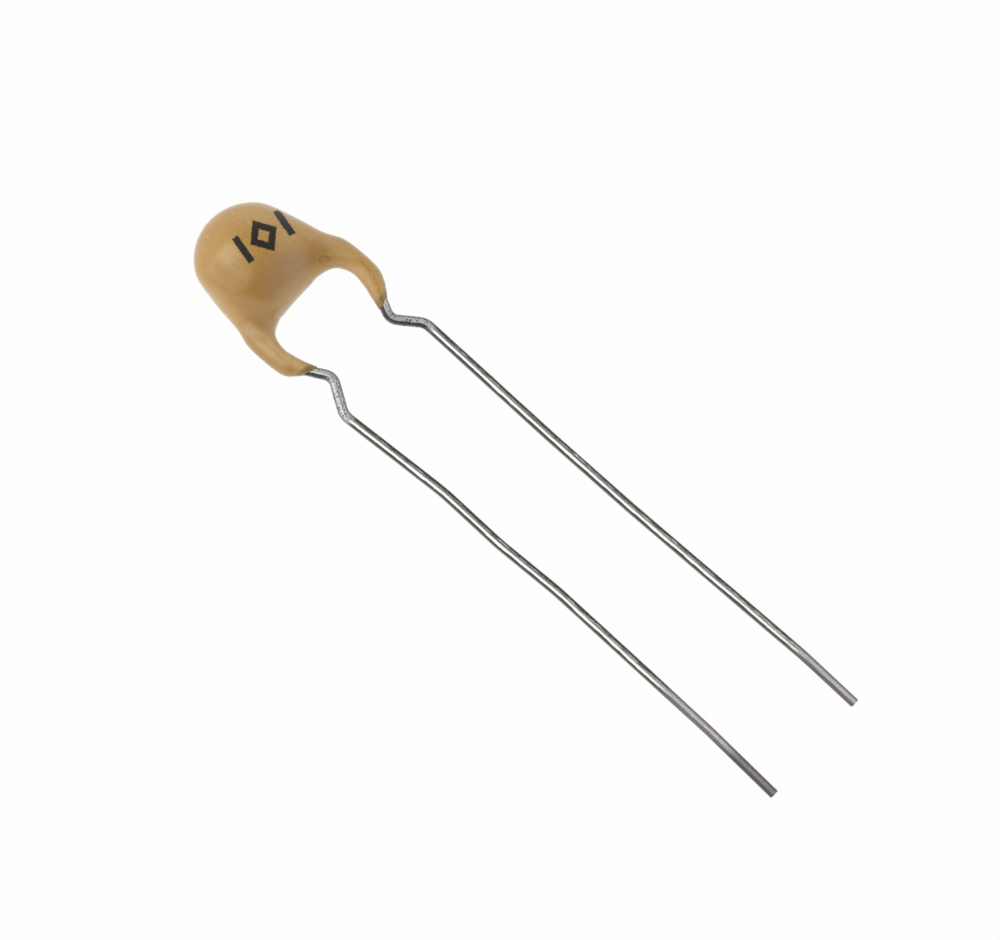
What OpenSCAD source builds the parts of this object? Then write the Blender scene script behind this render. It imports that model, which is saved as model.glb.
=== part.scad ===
// Disc thermistor with a dip coat and two kinked radial leads, in millimetres.
// It is drawn in the plane of its leads: the disc's centre is the origin, the leads run down -Y and the
// marked face looks up +Z. Then it is laid on its back, so that the coat's underside and both lead tips
// touch z = 0, with the middle of its footprint at the origin.

/* [Ceramic disc] */
// Diameter of the ceramic disc
disc_d = 4; // [3.4:0.1:5]
// Thickness of the ceramic disc
disc_t = 1.7; // [1.3:0.1:2.1]
// Chamfer on the edges of the disc
disc_chamfer = 0.15; // [0.05:0.05:0.3]
// Thickness of the metal electrode on each face
electrode_t = 0.05; // [0.03:0.01:0.1]
// Bare ceramic between the chamfer and the electrode
electrode_margin = 0.05; // [0.05:0.05:0.3]

/* [Solder] */
// Diameter of each solder mound
solder_d = 1.9; // [1.4:0.1:2.2]
// Solder under the wire
solder_film = 0.04; // [0.03:0.01:0.1]
// Solder over the wire, at the top of the mound
solder_cover = 0.1; // [0.05:0.05:0.2]
// Electrode left bare outside the mound
solder_margin = 0.1; // [0.05:0.05:0.3]
// Length of wire past the middle of the mound
wire_lap = 0.8; // [0.4:0.1:1]

/* [Leads] */
// Diameter of the tinned wire
wire_d = 0.5; // [0.4:0.05:0.6]
// Distance of each leg outside the rim of the disc
leg_out = 0.82; // [0.7:0.02:1.4]
// Drop from the rim of the disc to the shoulder's corner, where the leg starts
shoulder_drop = 0.7; // [0.5:0.1:1.2]
// Length of a leg, from the shoulder's corner to the knee's corner
leg_len = 1.9; // [1.6:0.1:2.6]
// Spacing of the two kinks' corners
kink_span = 3.6; // [2.8:0.1:4.2]
// Drop from the knee's corner to the kink's corner
kink_drop = 1.8; // [1.5:0.1:2.4]
// Spacing of the leads below the kinks
lead_pitch = 5.5; // [4.8:0.1:7.5]
// Drop from the kink's corner to the crook's corner, where the lead turns straight
crook_drop = 1.4; // [1.1:0.1:2]
// Length of the leads below the crook
lead_run = 26.2; // [18:0.2:40]
// Bend radius of the shoulder, on the wire's centre line
shoulder_r = 1.5; // [0.8:0.1:2]
// Bend radius of the knee
knee_r = 0.9; // [0.5:0.1:1.2]
// Bend radius of the kink
kink_r = 0.6; // [0.4:0.05:0.8]
// Bend radius of the crook
crook_r = 0.9; // [0.5:0.05:1.2]
// Bend radius of the slight sets in the long run
set_r = 10; // [5:1:14]

/* [Coat] */
// Coat over the rim of the disc
coat_rim = 0.65; // [0.5:0.05:1]
// Coat over the wires at the middle of each face
coat_face = 0.5; // [0.4:0.05:0.8]
// Coat around the wire along the legs
coat_leg = 0.28; // [0.2:0.02:0.4]
// Coat left around the wire where it ends
coat_end = 0.04; // [0.03:0.01:0.12]
// Length from the coat's end to the middle of its taper
coat_taper = 0.45; // [0.3:0.05:0.6]
// Coat between the rim of the disc and the saddle
coat_saddle = 0.78; // [0.5:0.02:0.9]
// Corner radius between the saddle and a leg
saddle_r = 1; // [0.8:0.1:1.4]
// Sideways shift of the coat on the disc
coat_shift = 0.18; // [0:0.02:0.24]
// Sideways lean of the coat towards its top, for each millimetre of height
coat_lean = 0.04; // [0:0.01:0.06]
// Swell of the coat's flanks beyond its dome
coat_flank = 0.06; // [0:0.02:0.16]
// Slope of the coat's faces across the lead plane, following the skewed disc
coat_slope = 0.16; // [0:0.02:0.24]
// Bare wire between the coat's end and the kink's corner, on the front lead
bare_front = 0.8; // [0.7:0.05:1.2]
// Bare wire between the coat's end and the kink's corner, on the back lead
bare_back = 1.1; // [0.8:0.05:1.4]
// How much further the coat runs down on the inside of the front lead than on its outside
slant_front = 0.4; // [0:0.05:0.6]
// How much further the coat runs down on the inside of the back lead than on its outside
slant_back = 0.6; // [0:0.05:0.7]

/* [Hidden] */
$fn = 64;

wire_rad = wire_d / 2;
disc_rad = disc_d / 2;
electrode_rad = disc_rad - disc_chamfer - electrode_margin;
face_h = disc_t / 2 + electrode_t;

// The wire's centre line lies this far from the disc's middle plane
wire_h = face_h + solder_film + wire_rad;
leg_x = disc_rad + leg_out;
// Each lead lies flat on its face of the disc and meets the lead plane at its shoulder: this skews the disc
disc_skew = asin(wire_h / leg_x);

mound_h = solder_film + wire_d + solder_cover;
mound_rad = (pow(solder_d / 2, 2) + pow(mound_h, 2)) / (2 * mound_h);
mound_x = electrode_rad - solder_margin - solder_d / 2;

// Corners of a lead's route, in the lead plane but for the stretch on the disc
shoulder_at = [leg_x, -disc_rad - shoulder_drop, 0];
knee_at = shoulder_at - [0, leg_len, 0];
kink_at = [kink_span / 2, knee_at.y - kink_drop, 0];
crook_y = kink_at.y - crook_drop;
mound_at = [mound_x * cos(disc_skew) + wire_h * sin(disc_skew), 0,
            wire_h * cos(disc_skew) - mound_x * sin(disc_skew)];
wire_end = mound_at - wire_lap * unit(shoulder_at - mound_at);

// Slight sets of each lead: offsets outwards and upwards of its knee and its kink, then along its run the
// share of the run and the offset outwards from the nominal pitch
front_knee = [-0.05, -0.06, 0];
front_kink = [0.09, -0.08, 0];
back_knee = [-0.06, 0.14, 0];
back_kink = [-0.03, 0.12, 0];
front_run = [[0, 0.09], [0.29, -0.02], [0.48, -0.02], [0.88, 0.17], [1, 0.09]];
back_run = [[0, 0], [0.22, -0.36], [0.35, -0.28], [0.48, -0.41], [0.84, -0.24], [1, -0.04]];

function unit(v) = v / norm(v);
function flat(p) = [p.x, p.y];
function mix(a, b, u) = a + (b - a) * u;
function rounded(v) = round(v * 10000) / 10000;

function route(knee_set, kink_set, run_sets) = concat(
    [wire_end, shoulder_at, knee_at + knee_set, kink_at + kink_set],
    [for (s = run_sets) [lead_pitch / 2 + s[1], crook_y - lead_run * s[0], 0]]);
front_route = route(front_knee, front_kink, front_run);
back_route = route(back_knee, back_kink, back_run);
formed_radii = [0, shoulder_r, knee_r, kink_r, crook_r];
function radius_at(i) = i < len(formed_radii) ? formed_radii[i] : set_r;
function way(r, i) = unit(r[i + 1] - r[i]);
// Turn at corner i, to a ten-thousandth of a degree, and the side it turns to, square to the way in
function turn(r, i) = rounded(acos(min(1, way(r, i - 1) * way(r, i))));
function side(r, i) = unit(way(r, i) - way(r, i - 1) * cos(turn(r, i)));
// Straight length that the bend at corner i takes from each neighbour
function reach(r, i) = i == 0 || i == len(r) - 1 ? 0 : radius_at(i) * tan(turn(r, i) / 2);
function straight(r, i) = norm(r[i + 1] - r[i]) - reach(r, i) - reach(r, i + 1);
// Roll about the wire between the end of one bend and the next bend's side
function roll(r, i) = let (
        inward = side(r, i - 1) * cos(turn(r, i - 1)) - way(r, i - 2) * sin(turn(r, i - 1)),
        across = cross(way(r, i - 1), inward))
    atan2(side(r, i) * across, side(r, i) * inward);

// The coat is a horseshoe of oval sections. Each runs from an inner edge, on the saddle or the inside of a
// leg, to an outer edge, and holds: inner x, y, outer x, y, half thickness, lift off the lead plane, and
// how much it follows the body (1) or the leg (0).
leg_rad = wire_rad + coat_leg;
end_rad = wire_rad + coat_end;
dome_rad = disc_rad + coat_rim;
dome_h = wire_h + wire_rad + coat_face;
saddle_y = -disc_rad - coat_saddle;

// Leg sections of the coat on one lead: its end, its taper, the middle of the knee and the top of the leg.
// At the middle of its taper it has gained this share of its thickness
taper_share = 0.4;
function leg_section(at, out, rad, slant = [0, 0]) = concat(at - out * rad + slant / 2,
    at + out * rad - slant / 2, [rad, 0, 0]);
function leg_sections(r, bare, slant) = let (
        along = unit(flat(r[3] - r[2])),
        out = [-along.y, along.x],
        end_at = flat(r[3]) - along * bare,
        half_turn = turn(r, 2) / 2,
        knee_out = [cos(half_turn), -sin(half_turn)],
        knee_mid = flat(r[2]) - knee_out * knee_r * (1 / cos(half_turn) - 1))
    [leg_section(end_at, out, end_rad, along * slant),
     leg_section(end_at - along * coat_taper, out, mix(end_rad, leg_rad, taper_share), along * slant / 2),
     leg_section(knee_mid, knee_out, leg_rad),
     leg_section(leg_top, [1, 0], leg_rad)];

// Body sections: they fan from the saddle to the shoulder, the waist, the flank and two points of the dome
leg_top = [leg_x, saddle_y - saddle_r];
saddle_end = leg_x - leg_rad - saddle_r;
corner = [saddle_end + saddle_r * sin(45), saddle_y - saddle_r * (1 - cos(45))];
flank_drop = 0.08;
flank = [dome_rad + coat_flank, -dome_rad * flank_drop];
// The shoulder and the waist lie these shares of the way from the flank to the leg's edge, across and down
shoulder_share = [0.93, 0.65];
waist_share = [0.42, 0.4];
function edge_point(share) = [for (k = [0, 1]) mix(flank[k], (leg_top + [leg_rad, 0])[k], share[k])];
function dome_point(a) = dome_rad * [cos(a), sin(a)];
dome_angles = [32, 62];
// Shares of the saddle where the flank's and the dome's sections start
fan_shares = [0.75, 0.5, 0.25];
// Half thickness at the shoulder and the waist as shares of the leg's, then at the others of the dome's
root_shares = [1.25, 1.65];
dome_shares = [0.6, 0.84, 0.965];
// How much the shoulder and the waist follow the body
follow = [0.4, 0.8];
// Where the wire climbs from the lead plane to its face, the coat's middle follows it part of the way
root_lift = mound_at.z / 3;
function saddle_point(share) = [saddle_end * share, saddle_y];
body_sections = [
    concat(corner, edge_point(shoulder_share), [leg_rad * root_shares[0], root_lift, follow[0]]),
    concat(saddle_point(1), edge_point(waist_share), [leg_rad * root_shares[1], root_lift, follow[1]]),
    concat(saddle_point(fan_shares[0]), flank, [dome_h * dome_shares[0], root_lift / 2, 1]),
    concat(saddle_point(fan_shares[1]), dome_point(dome_angles[0]), [dome_h * dome_shares[1], 0, 1]),
    concat(saddle_point(fan_shares[2]), dome_point(dome_angles[1]), [dome_h * dome_shares[2], 0, 1])];
top_section = [0, saddle_y, 0, dome_rad, dome_h, 0, 1];

function mirrored(s) = [-s[0], s[1], -s[2], s[3], s[4], -s[5], s[6]];
// The body's outline sits a little to one side, and leans that way towards its top
function shifted(s) = s - s[6] * [coat_shift, 0, coat_shift + coat_lean * s[3], 0, 0, 0, 0];
function half(r, bare, slant) = concat(leg_sections(r, bare, slant), body_sections);
function backwards(list) = [for (i = [len(list) - 1:-1:0]) list[i]];
sections = [for (s = concat([for (s = half(back_route, bare_back, slant_back)) mirrored(s)], [top_section],
    backwards(half(front_route, bare_front, slant_front)))) shifted(s)];

ring_steps = 4;
ring_points = 32;
function smooth(a, b, c, d, u) = (2 * b + (c - a) * u + (2 * a - 5 * b + 4 * c - d) * pow(u, 2)
    + (3 * b - a - 3 * c + d) * pow(u, 3)) / 2;
final = len(sections) - 1;
rings = [for (i = [0:final - 1], k = [0:ring_steps - 1]) smooth(sections[max(i - 1, 0)], sections[i],
    sections[i + 1], sections[min(i + 2, final)], k / ring_steps), sections[final]];
function ring_point(s, a) = let (
        x = mix(s[0], s[2], (1 + cos(a)) / 2),
        y = mix(s[1], s[3], (1 + cos(a)) / 2))
    [x, y, s[5] + s[4] * sin(a) - s[6] * coat_slope * (x + coat_shift)];
coat_points = [for (s = rings, j = [0:ring_points - 1]) ring_point(s, 360 * j / ring_points)];

// The lie of the part: the pitch at which its underside and its lead tips touch the ground together
tip_y = crook_y - lead_run;
function height(p, pitch) = p.y * sin(pitch) + p.z * cos(pitch);
function lowest(pitch) = let (heights = [for (p = coat_points) height(p, pitch)])
    coat_points[search(min(heights), heights)[0]];
function settled(pitch, tries) = tries == 0 ? pitch : let (p = lowest(pitch))
    settled(atan((-p.z - wire_rad) / (p.y - tip_y)), tries - 1);
rest_pitch = settled(0, 4);
rest_z = -height(lowest(rest_pitch), rest_pitch);
coat_x = [for (p = coat_points) p.x];
coat_y = [for (p = coat_points) p.y * cos(rest_pitch) - p.z * sin(rest_pitch)];
middle_x = (min(coat_x) + max(coat_x)) / 2;
middle_y = (max(coat_y) + tip_y * cos(rest_pitch) - wire_rad * sin(rest_pitch)) / 2;

module at_rest() {
    translate([-middle_x, -middle_y, rest_z]) rotate([rest_pitch, 0, 0]) children();
}

module on_disc() {
    rotate([0, disc_skew, 0]) children();
}

// A half turn about the leads' direction takes a front piece to its twin at the back
module at_back() {
    rotate([0, 180, 0]) children();
}

module disc_form() {
    mid_h = disc_t / 2 - disc_chamfer;
    on_disc() rotate_extrude() polygon([[0, -disc_t / 2], [disc_rad - disc_chamfer, -disc_t / 2],
        [disc_rad, -mid_h], [disc_rad, mid_h], [disc_rad - disc_chamfer, disc_t / 2], [0, disc_t / 2]]);
}

module electrode_form() {
    on_disc() translate([0, 0, disc_t / 2]) cylinder(r = electrode_rad, h = electrode_t);
}

module mound_form() {
    on_disc() translate([mound_x, 0, face_h]) intersection() {
        translate([0, 0, mound_h - mound_rad]) sphere(r = mound_rad);
        cylinder(r = solder_d, h = mound_h * 2);
    }
}

// Wire bend: starts along +Z and turns towards +X
module bend_form(angle, radius) {
    translate([radius, 0, 0]) rotate([90, 0, 180]) rotate_extrude(angle = angle)
        translate([radius, 0]) circle(d = wire_d);
}

// A coarse step and a fine one, so that the wire's lengths meet exactly
module step(v) {
    coarse = [for (c = v) rounded(c)];
    translate(coarse) translate(v - coarse) children();
}

// Wire from corner i of its route onwards, drawn along +Z
module wire_from(r, i) {
    run = rounded(straight(r, i));
    cylinder(d = wire_d, h = run);
    if (i + 2 < len(r)) translate([0, 0, run]) rotate([0, 0, i == 0 ? 0 : roll(r, i + 1)]) {
        angle = turn(r, i + 1);
        radius = radius_at(i + 1);
        bend_form(angle, radius);
        step([radius * (1 - cos(angle)), 0, radius * sin(angle)]) rotate([0, angle, 0]) wire_from(r, i + 1);
    }
}

module lead_form(r) {
    x = side(r, 1);
    z = way(r, 0);
    y = cross(z, x);
    multmatrix([[x.x, y.x, z.x, r[0].x], [x.y, y.y, z.y, r[0].y], [x.z, y.z, z.z, r[0].z]]) wire_from(r, 0);
}

module leads_form() {
    lead_form(front_route);
    at_back() lead_form(back_route);
}

// Skin of the coat: a patch between two rings is split along its shorter diagonal
function gap(a, b) = norm(coat_points[a] - coat_points[b]);
function patch(a, b, c, d) = gap(b, d) < gap(a, c) ? [[a, b, d], [d, b, c]] : [[a, b, c], [a, c, d]];
module skin_form() {
    m = ring_points;
    n = len(rings);
    polyhedron(points = coat_points, faces = concat(
        [[for (j = [0:m - 1]) j]],
        [for (i = [0:n - 2], j = [0:m - 1]) let (a = i * m + j, b = i * m + (j + 1) % m) each
            patch(a, a + m, b + m, b)],
        [[for (j = [m - 1:-1:0]) (n - 1) * m + j]]));
}

module coating() {
    color("#BD9559") at_rest() difference() {
        skin_form();
        disc_form();
        electrode_form();
        at_back() electrode_form();
        mound_form();
        at_back() mound_form();
        leads_form();
    }
}

module ceramic_disc() {
    color("#4A4640") at_rest() disc_form();
}

module electrode_front() {
    color("#C9C7C0") at_rest() electrode_form();
}

module electrode_back() {
    color("#C9C7C0") at_rest() at_back() electrode_form();
}

module solder_front() {
    color("#A8ABAD") at_rest() difference() {
        mound_form();
        lead_form(front_route);
    }
}

module solder_back() {
    color("#A8ABAD") at_rest() at_back() difference() {
        mound_form();
        lead_form(back_route);
    }
}

module lead_front() {
    color("#B9BABA") at_rest() lead_form(front_route);
}

module lead_back() {
    color("#B9BABA") at_rest() at_back() lead_form(back_route);
}

coating();
ceramic_disc();
electrode_front();
electrode_back();
solder_front();
solder_back();
lead_front();
lead_back();
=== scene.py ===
"""Looks of a disc thermistor: satin ochre dip coat, two kinked tinned leads, and the pieces inside."""
from math import ceil, cos, degrees, pi, radians, sin, tan

import bmesh
import bpy
from mathutils import Matrix, Vector, noise


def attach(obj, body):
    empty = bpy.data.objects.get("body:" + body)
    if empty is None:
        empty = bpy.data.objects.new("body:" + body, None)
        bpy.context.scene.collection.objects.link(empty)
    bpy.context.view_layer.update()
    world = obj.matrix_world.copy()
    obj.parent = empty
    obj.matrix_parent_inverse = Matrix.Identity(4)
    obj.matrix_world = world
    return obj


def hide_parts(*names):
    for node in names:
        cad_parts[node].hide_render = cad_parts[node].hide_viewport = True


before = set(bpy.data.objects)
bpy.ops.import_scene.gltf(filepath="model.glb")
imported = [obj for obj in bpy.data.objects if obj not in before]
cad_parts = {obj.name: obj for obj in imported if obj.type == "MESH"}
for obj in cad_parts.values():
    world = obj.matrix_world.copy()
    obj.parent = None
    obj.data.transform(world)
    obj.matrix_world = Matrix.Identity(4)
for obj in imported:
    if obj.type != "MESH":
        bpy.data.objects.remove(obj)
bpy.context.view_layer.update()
scene = bpy.context.scene
scene.view_settings.view_transform = "Standard"

MM = 0.001
# The part is drawn in millimetres in the plane of its leads, with the disc's middle at the origin and the
# leads down -Y, and then pitched and lifted until its underside and both lead tips touch the ground
LIE_AT, LIE_PITCH = (0.008, 15.661, 1.999), radians(2.9486)
LIE = Matrix.Scale(MM, 4) @ Matrix.Translation(LIE_AT) @ Matrix.Rotation(LIE_PITCH, 4, "X")


# Materials

class Value:
    """One output of a material's nodes. Arithmetic on it adds Math nodes."""

    def __init__(self, finish, socket):
        self.finish, self.socket = finish, socket

    def maths(self, operation, *values):
        return self.finish.node("ShaderNodeMath", {"operation": operation}, dict(enumerate(values)))

    def __add__(self, other):
        return self.maths("ADD", self, other)

    def __sub__(self, other):
        return self.maths("SUBTRACT", self, other)

    def __rsub__(self, other):
        return self.maths("SUBTRACT", other, self)

    def __mul__(self, other):
        return self.maths("MULTIPLY", self, other)

    def __abs__(self):
        return self.maths("ABSOLUTE", self)

    __radd__, __rmul__ = __add__, __mul__

    def most(self, other):
        return self.maths("MAXIMUM", self, other)

    def least(self, other):
        return self.maths("MINIMUM", self, other)

    def ease(self, low, high):
        """0 at low, 1 at high, eased between."""
        return self.finish.node("ShaderNodeMapRange", {"interpolation_type": "SMOOTHSTEP"},
                                {0: self, 1: low, 2: high})


class Finish:
    """The nodes of a procedural material or of the sky, and the shader that they feed."""

    def __init__(self, owner):
        self.owner = owner
        owner.use_nodes = True
        self.tree = owner.node_tree
        self.tree.nodes.clear()

    def node(self, kind, settings=None, inputs=None, output=0):
        made = self.tree.nodes.new(kind)
        for key, value in (settings or {}).items():
            setattr(made, key, value)
        for key, value in (inputs or {}).items():
            if isinstance(value, Value):
                self.tree.links.new(value.socket, made.inputs[key])
            else:
                made.inputs[key].default_value = value
        return Value(self, made.outputs[output]) if made.outputs else None

    def place(self, middle=(0, 0, 0), turn=0, scale=(1, 1, 1)):
        """Object coordinates in millimetres, from a middle, turned about Z and stretched."""
        here = self.node("ShaderNodeTexCoord", output="Object")
        moved = self.node("ShaderNodeVectorMath", {"operation": "MULTIPLY_ADD"},
                          {0: here, 1: (1 / MM,) * 3, 2: tuple(-m for m in middle)})
        return self.stretched(moved, scale, turn)

    def stretched(self, vector, scale, turn=0):
        return self.node("ShaderNodeMapping", {}, {"Vector": vector, "Rotation": (0, 0, -turn),
                                                   "Scale": scale})

    def axes(self, vector):
        return [self.node("ShaderNodeSeparateXYZ", {}, {0: vector}, k) for k in range(3)]

    def reach(self, vector):
        return self.node("ShaderNodeVectorMath", {"operation": "LENGTH"}, {0: vector}, "Value")

    def grain(self, vector, size, detail=2.0, roughness=0.5):
        """Noise of about that feature size in millimetres."""
        return self.node("ShaderNodeTexNoise", {}, {"Vector": vector, "Scale": 1 / size, "Detail": detail,
                                                    "Roughness": roughness})

    def dots(self, vector, spacing, radius):
        """Small round dots, strewn about that far apart."""
        cells = self.node("ShaderNodeTexVoronoi", {}, {"Vector": vector, "Scale": 1 / spacing})
        return cells.ease(radius / spacing * 1.4, radius / spacing * 0.6)

    def blend(self, mask, first, second):
        inputs = {0: mask}
        for key, colour in ((6, first), (7, second)):
            inputs[key] = colour if isinstance(colour, Value) else (*colour, 1)
        return self.node("ShaderNodeMix", {"data_type": "RGBA"}, inputs, 2)

    def mark(self, name, output="Fac"):
        """An attribute of the mesh."""
        return self.node("ShaderNodeAttribute", {"attribute_name": name}, output=output)

    def bump(self, height, distance, strength=1.0, under=None):
        inputs = {"Height": height, "Distance": distance * MM, "Strength": strength}
        if under:
            inputs["Normal"] = under
        return self.node("ShaderNodeBump", {}, inputs)

    def surface(self, **inputs):
        named = {key.replace("_", " "): value for key, value in inputs.items()}
        shader = self.node("ShaderNodeBsdfPrincipled", {}, named)
        self.node("ShaderNodeOutputMaterial", {}, {"Surface": shader})
        return self.owner


def new_finish(name):
    return Finish(bpy.data.materials.new(name))


def srgb(red, green, blue):
    """A colour given as 0 to 255 on screen."""
    return tuple(c / 12.92 if c <= 0.04045 else ((c + 0.055) / 1.055) ** 2.4
                 for c in (red / 255, green / 255, blue / 255))


# Stamp on the face that looks up: its middle, its turn, and the half sizes of its strokes in millimetres
STAMP_AT, STAMP_TURN = (0.93, 15.88, 0), radians(-13)
BAR_AT, BAR_HALF, STROKE_HALF = 1.1, 0.68, 0.16
LOZENGE_WIDE, LOZENGE_TALL = 0.5, 0.62

# Zones and marks of the coat in millimetres, as the part lies. A pair says where a zone is nil and where it
# is full: from side to side, along the leads with the top towards the dome, or in height
FACE_HEIGHT = (2.0, 2.3)
COAT_SHADE_AT, COAT_SHADE_RADIUS, COAT_SHADE_WIDE, COAT_SHADE_FOOT = (0, 11, 0), 3.1, (1.7, 0.0), (12.6, 13.6)
SIDE_SHADE_X, SIDE_SHADE_WIDE, SIDE_SHADE_TOP, SIDE_SHADE_FOOT = 1.75, (0.95, 0.25), (17.0, 16.2), (12.5, 13.6)
BACK_HALF = (0.5, -0.5)
# Below the knees the legs lean inward by that much for each millimetre
KNEE_ALONG, LEG_LEAN = 12.2, 0.25
LEG_HIGHLIGHT_INSET, LEG_HIGHLIGHT_WIDE, LEG_HIGHLIGHT_HEIGHT = 0.16, (0.5, 0.05), (1.9, 2.2)
LEG_HIGHLIGHT_TOP, LEG_HIGHLIGHT_FOOT = (14.1, 13.5), (9.8, 10.8)
OUTSIDE_SHADE_WIDE, OUTSIDE_SHADE_TOP = (2.8, 3.2), (13.6, 12.6)
SADDLE_LIGHT_WIDE, SADDLE_LIGHT_TOP, SADDLE_LIGHT_HEIGHT = (1.7, 0.9), (13.8, 13.2), (1.2, 1.8)
PIT_SPACING, PIT_RADIUS, SPECK_SPACING, SPECK_RADIUS = 0.85, 0.03, 0.8, 0.026
SCUFF_AT, SCUFF_RADIUS, SCUFF_LINE = (1.9, 13.12, 0), 0.22, (0.05, 0.02)
ROOT_DARK_AT, ROOT_DARK_WIDE = (2.05, 12.8, 0), (0.8, 0.15)


def stamp_ink(f, place):
    """Ink of the stamp: a lozenge drawn with one stroke between two bars, rough at its edges and worn."""
    across, up, _ = f.axes(f.place(STAMP_AT, STAMP_TURN))
    bars = (abs(abs(across) - BAR_AT) - STROKE_HALF).most(abs(up) - BAR_HALF)
    slope = (LOZENGE_WIDE ** -2 + LOZENGE_TALL ** -2) ** -0.5
    off_lozenge = abs(across) * (slope / LOZENGE_WIDE) + abs(up) * (slope / LOZENGE_TALL) - slope
    lozenge = abs(off_lozenge) - STROKE_HALF
    rough = (f.grain(place, 0.07, 2) - 0.5) * 0.14
    worn = f.grain(place, 0.14, 3).ease(0.68, 0.74)
    return (bars.least(lozenge) + rough).ease(0.03, -0.03) * (1 - worn * 0.7)


def coat_zones(f, colour, place, broad, cloud, face):
    """Painted light and shade on the coat: shade round the saddle and down one side, highlights along the
    legs, shade on the back leg's outside, paler light over the saddle.
    """
    sideways, along, height = f.axes(place)
    # Painted shade: a darker band round the saddle between the legs, where the dome slopes away from the
    # light
    away = f.reach(f.place(COAT_SHADE_AT, scale=(1, 1, 0))) - COAT_SHADE_RADIUS
    saddle_band_shade = abs(away + (broad - 0.5) * 1.2).ease(*COAT_SHADE_WIDE) * along.ease(*COAT_SHADE_FOOT)
    colour = f.blend(saddle_band_shade * 0.8, colour, srgb(166, 120, 65))
    # Painted shade, darker and more golden, down the side above the back leg, where it takes down the lamp's
    # highlight
    golden_side_shade = abs(sideways + SIDE_SHADE_X).ease(*SIDE_SHADE_WIDE) * along.ease(*SIDE_SHADE_TOP) * along.ease(*SIDE_SHADE_FOOT)
    colour = f.blend(golden_side_shade * face * 0.6, colour, srgb(176, 130, 44))
    # Painted highlights, paler along the tops of the legs, most on the back one, and painted shade darker on
    # the back leg's outside
    back = sideways.ease(*BACK_HALF)
    outward = abs(sideways) + (KNEE_ALONG - along).most(0) * LEG_LEAN
    leg_highlight = abs(outward - (LEG_X - LEG_HIGHLIGHT_INSET)).ease(*LEG_HIGHLIGHT_WIDE) * height.ease(*LEG_HIGHLIGHT_HEIGHT)
    leg_highlight = leg_highlight * along.ease(*LEG_HIGHLIGHT_TOP) * along.ease(*LEG_HIGHLIGHT_FOOT) * (0.6 + cloud * 0.8)
    colour = f.blend(leg_highlight * (0.14 + back * 0.26), colour, srgb(246, 216, 160))
    # Painted shade, darker on the back leg's outside
    outside_shade = outward.ease(*OUTSIDE_SHADE_WIDE) * along.ease(*OUTSIDE_SHADE_TOP) * back
    colour = f.blend(outside_shade * 0.3, colour, srgb(150, 106, 54))
    # Painted light: slightly paler over the saddle, where the coat turns down towards the bright ground
    saddle = abs(sideways).ease(*SADDLE_LIGHT_WIDE) * along.ease(*SADDLE_LIGHT_TOP) * height.ease(*SADDLE_LIGHT_HEIGHT)
    return f.blend(saddle * 0.1, colour, srgb(222, 190, 170))


def coat_marks(f, colour, place, cloud, face):
    """Pits and pale specks all over, and at the front leg's root a half-worn ring beside a darker patch."""
    pit = f.dots(place, PIT_SPACING, PIT_RADIUS)
    speck = f.dots(f.place((5, 3, 1)), SPECK_SPACING, SPECK_RADIUS)
    colour = f.blend(pit * 0.5, colour, srgb(112, 80, 44))
    colour = f.blend(speck * 0.8, colour, srgb(240, 226, 198))
    # A darker patch round the front leg's root
    root_dark = f.reach(f.place(ROOT_DARK_AT, scale=(1, 1, 0))) + (cloud - 0.5) * 0.5
    colour = f.blend(root_dark.ease(*ROOT_DARK_WIDE) * face * 0.3, colour, srgb(140, 98, 52))
    scuff = f.place(SCUFF_AT, scale=(1, 1, 0))
    scuff_x, scuff_y, _ = f.axes(scuff)
    kept = 0.2 + (scuff_x + scuff_y).ease(-0.15, 0.15) * 0.8
    ring = abs(f.reach(scuff) - SCUFF_RADIUS).ease(*SCUFF_LINE) * kept
    return f.blend(ring * face * 0.5, colour, srgb(112, 82, 56))


def coat_finish():
    """Satin ochre dip coat: broad mottling, a faint fine speckle, thin olive ends and a stamped ink mark."""
    f = new_finish("coat_ochre_satin")
    place = f.place()
    _, _, height = f.axes(place)
    face = height.ease(*FACE_HEIGHT)
    broad = f.grain(place, 2.4, 2)
    cloud = f.grain(place, 0.6, 3, 0.55)
    fine = f.grain(place, 0.1, 2)
    sparkle = f.grain(place, 0.13, 3, 0.7)
    colour = f.blend(broad.ease(0.35, 0.65), srgb(194, 148, 70), srgb(204, 160, 85))
    colour = f.blend(cloud.ease(0.5, 0.75) * 0.4, colour, srgb(188, 142, 74))
    colour = f.blend(fine.ease(0.5, 0.7) * 0.25, colour, srgb(216, 178, 120))
    colour = f.blend(fine.ease(0.5, 0.3) * 0.3, colour, srgb(170, 124, 62))
    colour = coat_zones(f, colour, place, broad, cloud, face)
    colour = coat_marks(f, colour, place, cloud, face)

    # The coat stops at a dark edge and runs out as a film, through which the wire shows olive
    end = f.mark("coat_end") + (cloud - 0.5) * 0.35
    film = end.ease(0.52, 0.64)
    edge = end.ease(0.34, 0.52) * (1 - film)
    colour = f.blend(edge * 0.55, colour, srgb(118, 82, 40))
    colour = f.blend(film * 0.85, colour, srgb(132, 114, 52))

    ink = stamp_ink(f, place) * face
    colour = f.blend(ink * 0.98, colour, srgb(7, 6, 6))
    roughness = 0.32 + (cloud - 0.5) * 0.12 + (fine - 0.5) * 0.08 - film * 0.1 + ink * 0.2
    relief = f.bump(sparkle, 0.02, 0.5)
    relief = f.bump(cloud, 0.03, 0.6, relief)
    relief = f.bump(ink, 0.006, 0.6, relief)
    return f.surface(Base_Color=colour, Roughness=roughness, Normal=relief, IOR=1.5,
                     Coat_Weight=0.8 - ink * 0.75, Coat_Roughness=0.16)


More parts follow.
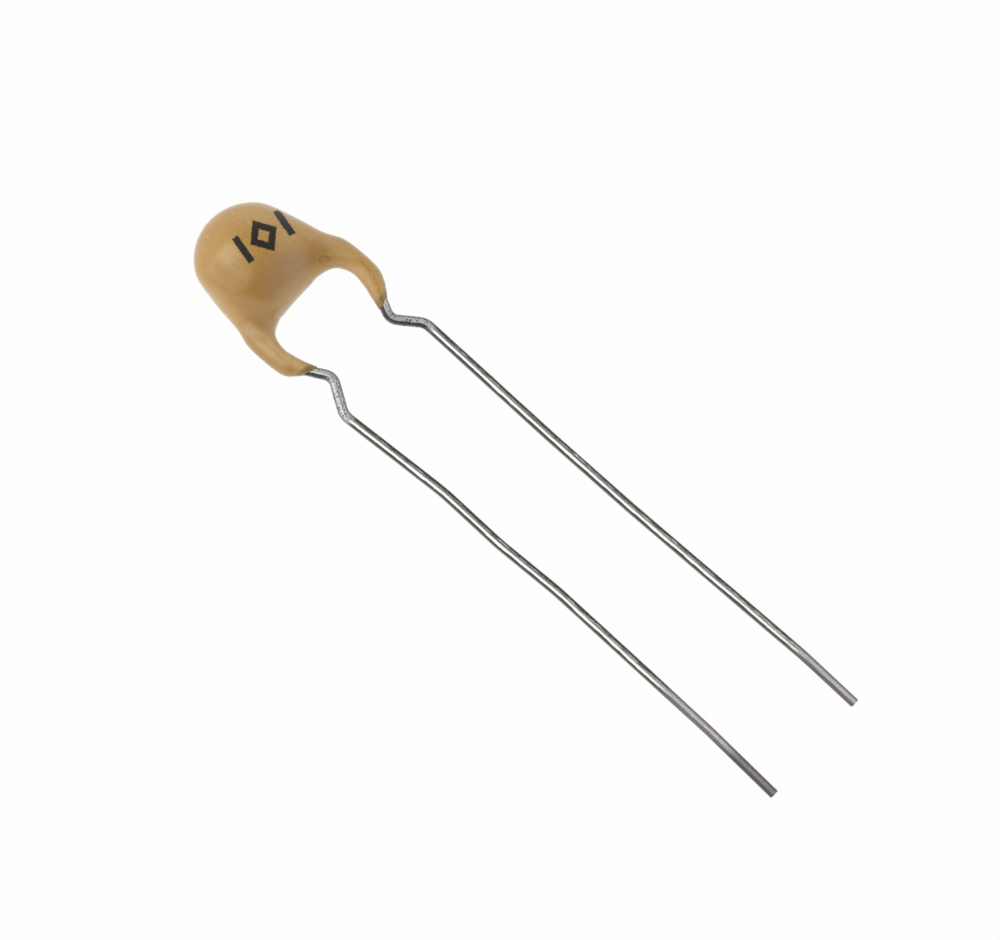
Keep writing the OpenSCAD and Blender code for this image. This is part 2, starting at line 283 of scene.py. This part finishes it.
# Along the leads in millimetres: where the painted shade band of the kinks fades in, how much further down
# that is on the front lead, the painted highlight on the wire next to the coat, and the darker end of the
# back lead's tip
SHADE_BAND_ALONG, SHADE_BAND_FURTHER = (9.2, 9.8), 2.1
NECK_HIGHLIGHT_ALONG = (9.3, 9.9)
DARK_TIP_ALONG = (-15.0, -16.0)
FRONT_HALF = (-0.5, 0.5)


def wire_finish():
    """Tinned wire: a painted reflection of a bright strip with painted dark reflections on its flanks, silver
    where it was formed, dull towards the tips.
    """
    f = new_finish("wire_tinned")
    place = f.place()
    around = f.mark("around", "Vector")
    across, up, _ = f.axes(around)
    streaks = f.grain(f.stretched(around, (1, 1, 0.1)), 0.25, 3, 0.6)
    smears = f.grain(f.stretched(around, (1, 1, 0.35)), 0.22, 3, 0.6)
    grit = f.grain(place, 0.1, 3, 0.7)
    patches = f.grain(place, 0.5, 3, 0.6)
    sideways, along, _ = f.axes(place)
    formed = (f.mark("formed") + (patches - 0.5) * 0.5).ease(0.3, 0.7)
    dull = (f.mark("dull") + (patches - 0.5) * 0.5 + (streaks - 0.5) * 0.3).ease(0.25, 0.75)
    uneven = (streaks - 0.5) * 0.2 + (patches - 0.5) * 0.24

    # Painted reflections on the top half: a bright strip, a brown-grey painted dark reflection on one flank,
    # ragged where it meets the strip, and a painted dark line on the other; both stop half way down, and the
    # underside is a plain tin grey, darker than the painted strip
    above = (up + uneven).ease(-0.3, 0.05)
    dark_flank_reflection = (across + uneven + (smears - 0.5) * 1.5).ease(0.2, 0.55)
    dark_line_reflection = (uneven * 0.6 - across + (smears - 0.5) * 0.4).ease(0.3, 0.42)
    strip_reflection = f.blend(above, srgb(196, 195, 192), srgb(252, 252, 250))
    flank_reflection_colour = f.blend(across.ease(0.2, 0.68), srgb(160, 154, 146), srgb(68, 64, 59))
    flank_reflection_colour = f.blend(grit.ease(0.52, 0.66) * 0.3, flank_reflection_colour, srgb(190, 184, 176))
    colour = f.blend(dark_flank_reflection * above, strip_reflection, flank_reflection_colour)
    line_reflection_colour = f.blend(across.ease(-0.5, -0.85), srgb(70, 66, 62), srgb(124, 119, 114))
    colour = f.blend(dark_line_reflection * above, colour, line_reflection_colour)

    # Silver and gritty where the tools gripped it, with painted dark reflections on its edges, a painted
    # shade band inside the kink, a painted highlight next to the coat and painted glints along one edge
    shade_band_reach = (along + sideways.ease(*FRONT_HALF) * SHADE_BAND_FURTHER).ease(*SHADE_BAND_ALONG)
    kink_shade_band = (abs(across + 0.42) + (grit - 0.5) * 0.3 + uneven).ease(0.4, 0.22) * shade_band_reach
    mixed = streaks * 0.5 + grit * 0.5
    silver = f.blend(mixed.ease(0.38, 0.56), srgb(184, 184, 183), srgb(255, 255, 254))
    silver = f.blend(grit.ease(0.52, 0.58) * 0.9, silver, srgb(62, 61, 59))
    # Painted highlight, brighter on one side of the wire next to the coat
    neck_highlight = along.ease(*NECK_HIGHLIGHT_ALONG) * across.ease(-0.3, 0.1)
    silver = f.blend(neck_highlight * 0.5, silver, srgb(255, 255, 254))
    silver = f.blend(kink_shade_band * 0.9, silver, srgb(38, 37, 36))
    # Painted dark reflections along both edges of the top half
    silver = f.blend(abs(across).ease(0.42, 0.9) * above * 0.75, silver, srgb(72, 71, 69))
    # Painted glints: pale flecks along the lowest edge
    edge_glints = across.ease(-0.78, -0.92) * grit.ease(0.55, 0.45)
    silver = f.blend(edge_glints * 0.6, silver, srgb(214, 213, 211))
    colour = f.blend(formed, colour, silver)

    # Grey towards the tips, painted darker on one side as shade, with a painted highlight strip and painted
    # glints in it, faint tints, specks and brown edges; the back tip is darker
    tip_highlight = (abs(across - 0.18) + uneven * 0.7).ease(0.55, 0.0)
    grey = f.blend(across.ease(-0.4, 0.7), srgb(104, 101, 99), srgb(138, 133, 130))
    grey = f.blend(tip_highlight, grey, srgb(236, 232, 231))
    tint = f.blend(patches.ease(0.42, 0.58), srgb(168, 194, 206), srgb(208, 174, 164))
    grey = f.blend(streaks.ease(0.48, 0.62) * 0.3, grey, tint)
    grey = f.blend(grit.ease(0.44, 0.34) * 0.2, grey, srgb(92, 87, 84))
    grey = f.blend(smears.ease(0.56, 0.66) * tip_highlight * 0.6, grey, srgb(250, 248, 247))
    grey = f.blend(grit.ease(0.56, 0.62) * tip_highlight * 0.7, grey, srgb(255, 254, 253))
    dark_tip = along.ease(*DARK_TIP_ALONG) * sideways.ease(*BACK_HALF)
    grey = f.blend(dark_tip * 0.55, grey, srgb(74, 69, 65))
    grey = f.blend(abs(across).ease(0.65, 0.95) * 0.5, grey, srgb(110, 92, 80))
    colour = f.blend(dull, colour, grey)

    roughness = 0.2 + dark_flank_reflection * 0.15 + formed * 0.18 + dull * 0.2 + (streaks - 0.5) * 0.1
    relief = f.bump(streaks, 0.008, 0.4)
    relief = f.bump(grit, 0.03, formed * 0.6 + dull * 0.4, relief)
    return f.surface(Base_Color=colour, Roughness=roughness, Normal=relief,
                     Metallic=0.92 - dull * 0.32 - formed * 0.12)


def inner_finish(name, dark, pale, size, rough, metal, depth):
    """A piece inside the coat: two tones of one material in a grain, with its relief."""
    f = new_finish(name)
    place = f.place()
    grain = f.grain(place, size, 4, 0.6)
    patches = f.grain(place, size * 8, 2)
    colour = f.blend((grain * 0.6 + patches * 0.4).ease(0.35, 0.65), srgb(*dark), srgb(*pale))
    return f.surface(Base_Color=colour, Roughness=rough + (grain - 0.5) * 0.2, Metallic=metal,
                     Normal=f.bump(grain, depth, 0.6))


# Shapes

def loft(bm, matrices, segments):
    """A tube of rings: the first is a circle, and each next one is drawn out of it. Returns the rings."""
    rings = [bmesh.ops.create_circle(bm, segments=segments, radius=1, matrix=matrices[0])["verts"]]
    edges = list({e for v in rings[0] for e in v.link_edges})
    for last, this in zip(matrices, matrices[1:]):
        order = {v: k for k, v in enumerate(rings[-1])}
        drawn = bmesh.ops.extrude_edge_only(bm, edges=edges)["geom"]
        verts = [g for g in drawn if isinstance(g, bmesh.types.BMVert)]
        fresh = set(verts)
        edges = [g for g in drawn if isinstance(g, bmesh.types.BMEdge) and set(g.verts) <= fresh]
        bmesh.ops.transform(bm, matrix=this @ last.inverted(), verts=verts)
        follows = {v: next(e.other_vert(v) for e in v.link_edges if e.other_vert(v) in order) for v in verts}
        rings.append(sorted(verts, key=lambda v: order[follows[v]]))
    for ring in (rings[0], rings[-1]):
        bmesh.ops.contextual_create(bm, geom=ring)
    return rings


def piece(name, bm, node, finish):
    """Lay the drawn shape down as it rests, and let it stand for its solid."""
    bmesh.ops.transform(bm, matrix=LIE, verts=bm.verts)
    bmesh.ops.recalc_face_normals(bm, faces=bm.faces)
    for face in bm.faces:
        face.smooth = True
    mesh = bpy.data.meshes.new(name)
    bm.to_mesh(mesh)
    bm.free()
    made = bpy.data.objects.new(name, mesh)
    scene.collection.objects.link(made)
    made.data.materials.append(finish)
    fine = made.modifiers.new("fine", "SUBSURF")
    fine.levels = fine.render_levels = 1
    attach(made, "root")
    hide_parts(node)


# Leads: the corners of each lead's route in millimetres, as drawn for the front one. The first stretch
# climbs to the disc's face, the next four corners are the shoulder, the knee, the kink and the crook, and the
# rest are the slight sets of the long run. The back lead has the same form, turned half round about the
# leads' direction
FRONT_ROUTE = [(0.78, 0.66, 0.95), (2.82, -2.7, 0), (2.77, -4.66, 0), (1.89, -6.48, 0), (2.84, -7.8, 0),
               (2.73, -15.4, 0), (2.73, -20.38, 0), (2.92, -30.86, 0), (2.84, -34, 0)]
BACK_ROUTE = [(0.78, 0.66, 0.95), (2.82, -2.7, 0), (2.76, -4.46, 0), (1.77, -6.28, 0), (2.75, -7.8, 0),
              (2.39, -13.56, 0), (2.47, -16.97, 0), (2.34, -20.38, 0), (2.51, -29.81, 0), (2.71, -34, 0)]
KNEE_RADIUS, SET_RADIUS = 0.9, 10
FORMED_RADII = [0, 1.5, KNEE_RADIUS, 0.6, 0.9]
TIP_Y = -34
WIRE_RADIUS = 0.25
WIRE_SEGMENTS = 40
WIRE_STEP, BEND_STEP = 0.35, 5
# Lengths of the dull stretch at each tip, where the formed stretch ends under the crook, and the lengths
# over which they fade
FRONT_DULL, BACK_DULL, DULL_FADE = 3.6, 6.9, 2.4
FORMED_END, FORMED_FADE = -8.2, 1.2
# The tip is cut square, that far short, with a slight burr: rings onward from the cut, and their share of it
TIP_SHORT, TIP_BURR = 0.03, ((0.02, 1.02), (0.026, 0.9), (0.02, 0.6))


def rounded_path(corners):
    """Points along the route with its bends, close together, and the way at each."""
    corners = [Vector(c) for c in corners]
    points = [corners[0]]
    for i in range(1, len(corners) - 1):
        radius = FORMED_RADII[i] if i < len(FORMED_RADII) else SET_RADIUS
        into = (corners[i] - corners[i - 1]).normalized()
        out = (corners[i + 1] - corners[i]).normalized()
        angle = into.angle(out)
        begin = corners[i] - into * radius * tan(angle / 2)
        centre = corners[i] + (out - into).normalized() * radius / cos(angle / 2)
        count = max(2, ceil(degrees(angle) / BEND_STEP))
        for k in range(count + 1):
            swing = Matrix.Rotation(angle * k / count, 3, into.cross(out))
            points.append(centre + swing @ (begin - centre))
    points.append(corners[-1])
    path = [points[0]]
    for a, b in zip(points, points[1:]):
        count = max(1, ceil((b - a).length / WIRE_STEP))
        path += [a.lerp(b, k / count) for k in range(1, count + 1)]
    ways = [(path[min(k + 1, len(path) - 1)] - path[max(k - 1, 0)]).normalized() for k in range(len(path))]
    return path, ways


def wire_rings(path, ways, radii):
    """Ring matrices down a path: each ring stands square to the way, turned as little as possible."""
    turn = Vector((0, 0, 1)).rotation_difference(ways[0])
    matrices = []
    for k, point in enumerate(path):
        if k:
            turn = ways[k - 1].rotation_difference(ways[k]) @ turn
        matrices.append(Matrix.Translation(point) @ turn.to_matrix().to_4x4() @ Matrix.Scale(radii[k], 4))
    return matrices


def limited(value):
    return max(0, min(1, value))


def wire_share(point, kink, grey):
    """Share of the wire's radius: slightly uneven, most at the kinks, and thinner where it is dull."""
    return 0.985 + noise.noise(point * 2.2) * 0.03 * kink + noise.noise(point * 0.8) * 0.012 - 0.07 * grey


def make_lead(name, node, corners, dull_length, finish, half_turn=False):
    bm = bmesh.new()
    layers = bm.verts.layers
    around = layers.float_vector.new("around")
    formed, dull = layers.float.new("formed"), layers.float.new("dull")
    path, ways = rounded_path(corners)
    kinked = [limited((point.y - FORMED_END) / FORMED_FADE + 0.5) for point in path]
    dulled = [limited((TIP_Y + dull_length - point.y) / DULL_FADE + 0.5) for point in path]
    radii = [WIRE_RADIUS * wire_share(*at) for at in zip(path, kinked, dulled)]
    path[-1] = path[-1] - ways[-1] * TIP_SHORT
    matrices = wire_rings(path, ways, radii)
    cut = matrices[-1]
    for onward, share in TIP_BURR:
        matrices.append(Matrix.Translation(ways[-1] * onward) @ cut @ Matrix.Scale(share, 4))
    rings = loft(bm, matrices, WIRE_SEGMENTS)
    run = 0
    for k, ring in enumerate(rings):
        at = min(k, len(path) - 1)
        run += (path[at] - path[max(at - 1, 0)]).length
        square = Vector((0, 0, 1)).cross(ways[at]).normalized()
        for vert in ring:
            spoke = (vert.co - matrices[k].translation).normalized() * (-1 if half_turn else 1)
            vert[around] = (spoke.dot(square), spoke.z, run)
            vert[formed], vert[dull] = kinked[at], dulled[at]
    if half_turn:
        bmesh.ops.rotate(bm, verts=bm.verts, cent=(0, 0, 0), matrix=Matrix.Rotation(pi, 3, "Y"))
    piece(name, bm, node, finish)


# Coat: a horseshoe of oval sections, from its end on the back lead over the dome to its end on the front
# lead. Each section runs from an inner edge, on the saddle or the inside of a leg, to an outer edge, and
# holds: inner x, y, outer x, y, half thickness, lift off the lead plane, and how much it follows the body,
# from 0 on a leg to 1
LEG_X, LEG_RADIUS, END_RADIUS = 2.82, 0.53, 0.29
TAPER_LENGTH, TAPER_SHARE = 0.45, 0.4
FRONT_BARE, BACK_BARE = 0.8, 1.1
FRONT_SLANT, BACK_SLANT = 0.4, 0.6
SADDLE_Y, SADDLE_RADIUS = -2.78, 1.0
SADDLE_END = LEG_X - LEG_RADIUS - SADDLE_RADIUS
DOME_RADIUS, DOME_HEIGHT = 2.65, 1.94
DOME_ANGLES = (radians(32), radians(62))
FLANK = Vector((2.71, -0.21))
# The shoulder and the waist lie these shares of the way from the flank to the leg's edge, across and down
SHOULDER_SHARE, WAIST_SHARE = (0.93, 0.65), (0.42, 0.4)
# Shares of the saddle where the sections from the waist on start
FAN_SHARES = (1, 0.75, 0.5, 0.25)
# Half thickness at the shoulder and the waist as shares of the leg's, then at the others of the dome's
ROOT_SHARES, DOME_SHARES = (1.25, 1.65), (0.6, 0.84, 0.965)
# How much the shoulder and the waist follow the body, and how far the wire lifts the coat there
FOLLOW, ROOT_LIFT = (0.4, 0.8), 0.254
COAT_SHIFT, COAT_LEAN, COAT_SLOPE = 0.18, 0.04, 0.16
COAT_STEPS, COAT_SEGMENTS, COAT_SMOOTHING = 7, 56, 4
LUMP_DEPTH, LUMP_SIZE = 0.03, 1.3
# Each end of the coat: the rings of its lip, as lengths onward and shares of the end, the length of its thin
# film and the rings within its reach, the rings left as lofted, and how far the first ones move with the
# uneven run of the end
END_LIP = ((0.02, 0.97), (0.03, 0.9), (-0.04, 0.76))
FILM_LENGTH, FILM_RINGS = 0.6, 24
LOFTED_RINGS = 14
END_MOVES = (1, 1, 1, 1, 0.8, 0.6, 0.4, 0.2, 0.1)


def leg_section(at, out, radius, slant):
    return Vector((*(at - out * radius + slant), *(at + out * radius - slant), radius, 0, 0))


def leg_sections(route, bare, slant):
    """Coat on one leg: its slanted end on the wire, its taper, the knee's middle and the top of the leg."""
    knee, kink = (Vector(corner).to_2d() for corner in route[2:4])
    way = (kink - knee).normalized()
    out = Vector((-way.y, way.x))
    end = kink - way * bare
    half_turn = Vector((0, -1)).angle(way) / 2
    knee_out = Vector((cos(half_turn), -sin(half_turn)))
    knee_middle = knee - knee_out * KNEE_RADIUS * (1 / cos(half_turn) - 1)
    taper_radius = END_RADIUS + (LEG_RADIUS - END_RADIUS) * TAPER_SHARE
    straight = Vector((0, 0))
    return [leg_section(end, out, END_RADIUS, way * slant / 2),
            leg_section(end - way * TAPER_LENGTH, out, taper_radius, way * slant / 4),
            leg_section(knee_middle, knee_out, LEG_RADIUS, straight),
            leg_section(Vector((LEG_X, SADDLE_Y - SADDLE_RADIUS)), Vector((1, 0)), LEG_RADIUS, straight)]


def body_sections():
    """Coat on half the body: a fan from the saddle to the shoulder, the waist, the flank and the dome."""
    down = Vector((LEG_X + LEG_RADIUS, SADDLE_Y - SADDLE_RADIUS)) - FLANK
    shoulder, waist = ((FLANK.x + down.x * across, FLANK.y + down.y * along)
                       for across, along in (SHOULDER_SHARE, WAIST_SHARE))
    dome = [(DOME_RADIUS * cos(a), DOME_RADIUS * sin(a)) for a in DOME_ANGLES]
    corner = (SADDLE_END + SADDLE_RADIUS * sin(pi / 4), SADDLE_Y - SADDLE_RADIUS * (1 - cos(pi / 4)))
    saddle = [(SADDLE_END * share, SADDLE_Y) for share in FAN_SHARES]
    return [Vector((*corner, *shoulder, LEG_RADIUS * ROOT_SHARES[0], ROOT_LIFT, FOLLOW[0])),
            Vector((*saddle[0], *waist, LEG_RADIUS * ROOT_SHARES[1], ROOT_LIFT, FOLLOW[1])),
            Vector((*saddle[1], *FLANK, DOME_HEIGHT * DOME_SHARES[0], ROOT_LIFT / 2, 1)),
            Vector((*saddle[2], *dome[0], DOME_HEIGHT * DOME_SHARES[1], 0, 1)),
            Vector((*saddle[3], *dome[1], DOME_HEIGHT * DOME_SHARES[2], 0, 1))]


def coat_sections():
    """All sections from end to end. The body sits a little to one side and leans that way to its top."""
    back, front = (leg_sections(route, bare, slant) + body_sections()
                   for route, bare, slant in ((BACK_ROUTE, BACK_BARE, BACK_SLANT),
                                              (FRONT_ROUTE, FRONT_BARE, FRONT_SLANT)))
    mirrored = [Vector((-s[0], s[1], -s[2], s[3], s[4], -s[5], s[6])) for s in back]
    top = Vector((0, SADDLE_Y, 0, DOME_RADIUS, DOME_HEIGHT, 0, 1))
    return [s - s[6] * Vector((COAT_SHIFT, 0, COAT_SHIFT + COAT_LEAN * s[3], 0, 0, 0, 0))
            for s in mirrored + [top] + front[::-1]]


def between(a, b, c, d, u):
    """Smooth course from b to c."""
    return (2 * b + (c - a) * u + (2 * a - 5 * b + 4 * c - d) * u ** 2
            + (3 * b - a - 3 * c + d) * u ** 3) / 2


def section_matrix(section):
    """Lays a unit circle on one oval section of the coat."""
    in_x, in_y, out_x, out_y, half, lift, share = section
    slope = share * COAT_SLOPE
    reach = Vector((out_x - in_x, out_y - in_y, -slope * (out_x - in_x))) / 2
    mid_x, mid_y = (in_x + out_x) / 2, (in_y + out_y) / 2
    middle = Vector((mid_x, mid_y, lift - slope * (mid_x + COAT_SHIFT)))
    thick = Vector((0, 0, half))
    turned = Matrix((reach, thick, reach.cross(thick).normalized())).transposed().to_4x4()
    return Matrix.Translation(middle) @ turned


def coat_rings():
    """Ring matrices from end to end, and the ways out of both ends."""
    sections = coat_sections()
    last = len(sections) - 1
    courses = [between(sections[max(i - 1, 0)], sections[i], sections[i + 1], sections[min(i + 2, last)],
                       k / COAT_STEPS) for i in range(last) for k in range(COAT_STEPS)]
    matrices = [section_matrix(s) for s in courses + [sections[last]]]
    ways = [(matrices[end].translation - matrices[inner].translation).normalized()
            for end, inner in ((0, 1), (-1, -2))]
    return matrices, ways


def end_lip(matrix, way):
    """Rings that round the coat's end off, onto the wire and back inside it."""
    return [Matrix.Translation(way * onward) @ matrix @ Matrix.Diagonal((share, share, 1, 1))
            for onward, share in END_LIP]


def end_run(a):
    """Uneven run of the coat's end round the wire."""
    return 0.03 * sin(3 * a + 0.6) + 0.02 * sin(5 * a + 1.2) + 0.01 * sin(11 * a)


def make_coat():
    bm = bmesh.new()
    near_end = bm.verts.layers.float.new("coat_end")
    matrices, ways = coat_rings()
    lips = [end_lip(matrix, way) for matrix, way in zip((matrices[0], matrices[-1]), ways)]
    rings = loft(bm, lips[0][::-1] + matrices + lips[1], COAT_SEGMENTS)
    body = [v for ring in rings[LOFTED_RINGS:-LOFTED_RINGS] for v in ring]
    for _ in range(COAT_SMOOTHING):
        bmesh.ops.smooth_vert(bm, verts=body, factor=0.5, use_axis_x=True, use_axis_y=True, use_axis_z=True)
    # Shallow unevenness of a dipped skin
    bm.normal_update()
    for vert in body:
        vert.co -= vert.normal * LUMP_DEPTH * (0.5 + noise.noise(vert.co / LUMP_SIZE) / 2)
    # How near each point lies to the coat's end, and the uneven run of that end
    for side, way in ((rings, ways[0]), (rings[::-1], ways[1])):
        for ring in side[:FILM_RINGS]:
            for vert, end in zip(ring, side[len(END_LIP)]):
                vert[near_end] = limited(1 - (vert.co - end.co).length / FILM_LENGTH)
        for ring, share in zip(side, END_MOVES):
            for k, vert in enumerate(ring):
                vert.co += way * share * end_run(2 * pi * k / COAT_SEGMENTS)
    piece("coat_skin", bm, "coating", coat_finish())


make_coat()
tin = wire_finish()
make_lead("lead_wire_front", "lead_front", FRONT_ROUTE, FRONT_DULL, tin)
make_lead("lead_wire_back", "lead_back", BACK_ROUTE, BACK_DULL, tin, half_turn=True)

# Pieces inside the coat keep their solids
INNER = {
    "ceramic_disc": inner_finish("ceramic_sintered", (62, 57, 52), (88, 82, 75), 0.05, 0.75, 0.0, 0.01),
    "electrode": inner_finish("electrode_fired", (176, 173, 166), (214, 212, 205), 0.07, 0.5, 0.9, 0.008),
    "solder": inner_finish("solder_cooled", (146, 149, 152), (202, 204, 206), 0.12, 0.32, 1.0, 0.02)}
for node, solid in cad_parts.items():
    for kind, finish in INNER.items():
        if node.startswith(kind):
            solid.data.materials.clear()
            solid.data.materials.append(finish)


# Stage: pale ground, soft light from the left, and the camera straight above

GROUND_HALF, GROUND_DROP = 1.5, 0.00001
LIGHT_AIM = Vector((0, 5, 2)) * MM
# The camera's right and up, what the middle of its frame looks at, and the scale of its frame at that height
VIEW_RIGHT, VIEW_UP = Vector((0.66284, -0.74876, 0)), Vector((0.74876, 0.66284, 0))
VIEW_X, VIEW_Y, VIEW_HEIGHT = 0.087 * MM, 0.909 * MM, 1.4 * MM
FRAME_PIXELS, PIXELS_PER_MM = 1000, 22


def make_ground():
    bm = bmesh.new()
    bmesh.ops.create_grid(bm, x_segments=1, y_segments=1, size=GROUND_HALF,
                          matrix=Matrix.Translation((0, 0, -GROUND_DROP)))
    mesh = bpy.data.meshes.new("ground")
    bm.to_mesh(mesh)
    bm.free()
    ground = bpy.data.objects.new("ground", mesh)
    scene.collection.objects.link(ground)
    f = new_finish("ground_white")
    camera, glossy, through = (f.node("ShaderNodeLightPath", output=f"Is {ray} Ray")
                               for ray in ("Camera", "Glossy", "Transmission"))
    shade = f.node("ShaderNodeBsdfDiffuse", {}, {"Color": (0.86, 0.86, 0.86, 1)})
    white = f.node("ShaderNodeEmission", {}, {"Color": (1, 1, 1, 1), "Strength": 1.0})
    seen = camera.most(glossy).most(through) * 0.97
    mixed = f.node("ShaderNodeMixShader", {}, {0: seen, 1: shade, 2: white})
    f.node("ShaderNodeOutputMaterial", {}, {"Surface": mixed})
    ground.data.materials.append(f.owner)


def make_sky():
    """A white room with a dark ceiling: pale towards the horizon, dark overhead."""
    f = Finish(bpy.data.worlds.new("studio"))
    scene.world = f.owner
    _, _, climb = f.axes(f.node("ShaderNodeTexCoord", output="Generated"))
    glow = 0.1 + climb.ease(0.9, 0.1) * 0.9
    back = f.node("ShaderNodeBackground", {}, {"Color": (1, 1, 1, 1), "Strength": glow})
    f.node("ShaderNodeOutputWorld", {}, {"Surface": back})


def soft_light(name, way, distance, size, power):
    """A soft box, across and along the leads that wide, that looks at the part from that way."""
    light = bpy.data.lights.new(name, "AREA")
    light.shape = "RECTANGLE"
    light.size, light.size_y = size
    light.energy = power
    made = bpy.data.objects.new(name, light)
    scene.collection.objects.link(made)
    way = Vector(way).normalized()
    across = Vector((0, 1, 0)).cross(way).normalized()
    turned = Matrix((across, way.cross(across), way)).transposed().to_4x4()
    made.matrix_world = Matrix.Translation(LIGHT_AIM + way * distance) @ turned
    made.visible_camera = False


def make_camera():
    """Straight above, with the leads running to the lower right of the frame."""
    view = bpy.data.cameras.new("camera")
    view.lens, view.sensor_width = 180, 36
    made = bpy.data.objects.new("camera", view)
    scene.collection.objects.link(made)
    width = FRAME_PIXELS / PIXELS_PER_MM * MM
    height = width * view.lens / view.sensor_width + VIEW_HEIGHT
    turned = Matrix((VIEW_RIGHT, VIEW_UP, (0, 0, 1))).transposed().to_4x4()
    made.matrix_world = Matrix.Translation((VIEW_X, VIEW_Y, height)) @ turned
    view.clip_start, view.clip_end = 0.01, 10
    scene.camera = made


make_ground()
make_sky()
soft_light("panel", (-0.4, 0.3, 0.87), 0.36, (0.56, 0.50), 0.88)
soft_light("key", (0.02, 0.56, 0.83), 0.40, (0.22, 0.22), 0.13)
soft_light("fill", (0.6, -0.5, 0.62), 0.40, (0.30, 0.30), 0.12)
make_camera()
